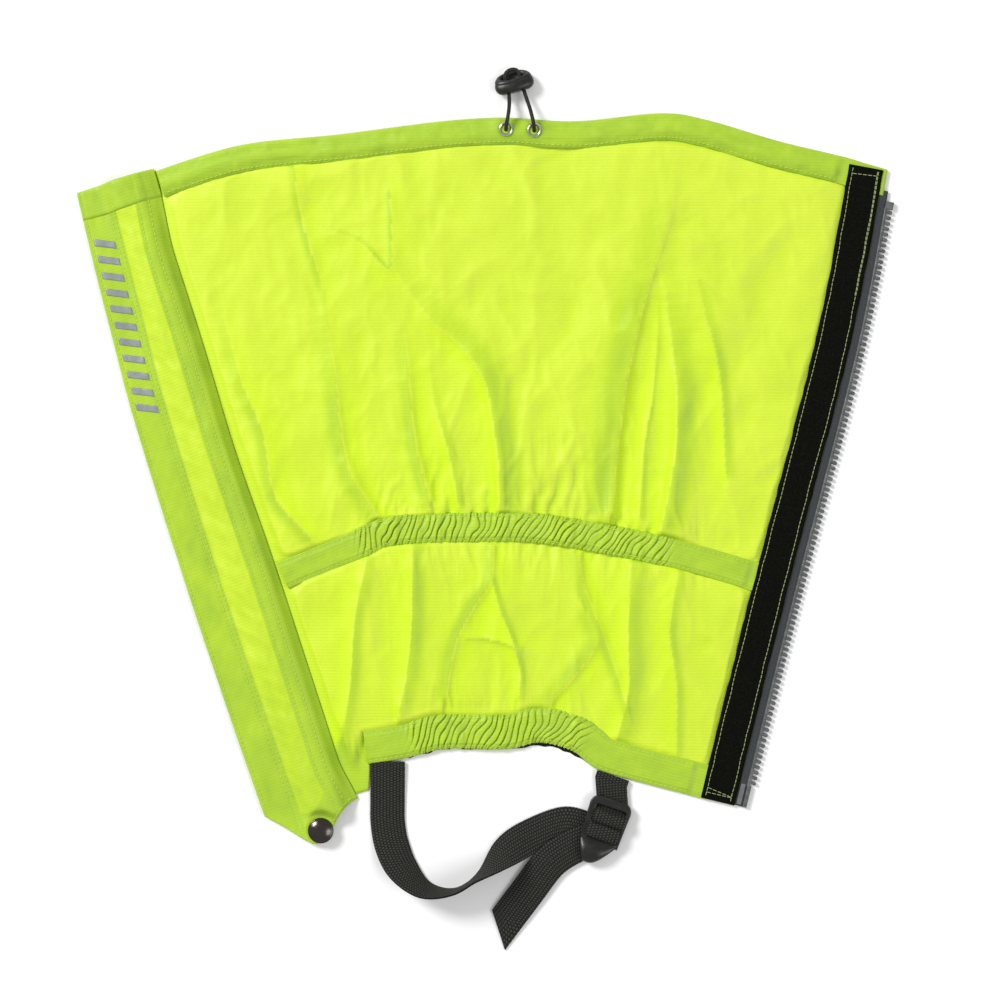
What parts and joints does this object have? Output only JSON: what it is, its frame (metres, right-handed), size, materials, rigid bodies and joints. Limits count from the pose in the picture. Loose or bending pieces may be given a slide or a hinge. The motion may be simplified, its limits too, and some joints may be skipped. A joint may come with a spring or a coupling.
{
  "type": "hiking gaiter",
  "caption": "Ankle-to-calf hiking gaiter laid open: nylon shell, zip with storm flap, hook and loop, drawcord hem, elastic ankle and stirrup strap.",
  "frame": {"origin": "under the middle of the open gaiter's box, on the surface it lies on, the drawcord's free loop and lock left out", "axes": "+X around the leg, from the storm flap towards the loop tape; +Y up the leg, towards the drawcord hem; +Z out of the outer face, up from the surface"},
  "size_m": [0.4732, 0.5105, 0.021],
  "materials": {
    "yellow_fabric": "thin fluorescent nylon, fine crosswise weave",
    "hem_fabric": "the same nylon, doubled",
    "touch_fastener": "hook and loop pile",
    "elastic": "woven elastic",
    "cord": "braided elastic cord",
    "webbing": "plain-weave polypropylene webbing",
    "zip_tape": "woven zip tape",
    "zip_plastic": "moulded acetal",
    "zip_film": "stiffening film on the tape's end",
    "black_plastic": "moulded acetal, slightly glossy",
    "nickel": "nickel plate",
    "dark_nickel": "black nickel plate",
    "reflective_film": "grey retro-reflective transfer film"
  },
  "bodies": {
    "panel": {"body_panel": "yellow_fabric", "top_hem": "hem_fabric", "ankle_casing": "hem_fabric", "bottom_hem": "hem_fabric", "loop_tape": "touch_fastener", "ankle_elastic": "elastic", "hem_elastic": "elastic", "hem_backing_tape": "elastic", "drawcord_loop": "cord", "drawcord_left_run": "cord", "drawcord_right_run": "cord", "left_zip_tape": "zip_tape", "right_zip_tape": "zip_tape", "left_zip_teeth": "zip_plastic", "right_zip_teeth": "zip_plastic", "left_top_stop": "zip_plastic", "right_top_stop": "zip_plastic", "insertion_pin": "zip_plastic", "retaining_box": "zip_plastic", "left_tape_film": "zip_film", "right_tape_film": "zip_film", "eyelet_left": "nickel", "eyelet_right": "nickel", "eyelet_washer_left": "nickel", "eyelet_washer_right": "nickel"},
    "flap": {"storm_flap": "yellow_fabric", "flap_edge_facing": "hem_fabric", "hook_tape": "touch_fastener", "flap_top_hem": "hem_fabric", "reflective_strip": "reflective_film", "snap_cap": "dark_nickel", "snap_socket": "dark_nickel"},
    "slider": {"zip_slider": "dark_nickel"},
    "zip_pull": {"pull_tab": "dark_nickel"},
    "lock": {"cord_lock": "black_plastic"},
    "stirrup": {"stirrup_strap": "webbing", "buckle_loop_strap": "webbing"},
    "buckle": {"ladder_buckle": "black_plastic"}
  },
  "joints": [
    {"name": "flap_hinge", "type": "hinge", "parent": "panel", "child": "flap", "pos_m": [-0.07399, -0.154, 0.0045], "axis": [-0.3088, 0.9511, 0], "range_deg": [0, 128]},
    {"name": "zip_slide", "type": "slide", "parent": "panel", "child": "slider", "axis": [-0.3088, 0.9511, 0], "range_m": [0, 0.343]},
    {"name": "pull_tab_hinge", "type": "hinge", "parent": "slider", "child": "zip_pull", "pos_m": [-0.09581, -0.14784, 0.00625], "axis": [-0.9511, -0.3088, 0], "range_deg": [0, 5]},
    {"name": "cord_lock_slide", "type": "slide", "parent": "panel", "child": "lock", "axis": [-0.08, 0.9968, 0], "range_m": [-0.01, 0], "deforming": ["drawcord_loop"]},
    {"name": "stirrup_swing", "type": "hinge", "parent": "panel", "child": "stirrup", "pos_m": [-0.05659, -0.1351, 0.0015], "axis": [-0.9986, 0.0521, 0], "range_deg": [0, 90]},
    {"name": "buckle_tilt", "type": "hinge", "parent": "stirrup", "child": "buckle", "pos_m": [0.07041, -0.1656, 0.0044], "axis": [-0.9447, 0.3278, 0], "range_deg": [0, 15], "deforming": ["buckle_loop_strap", "stirrup_strap"]}
  ]
}
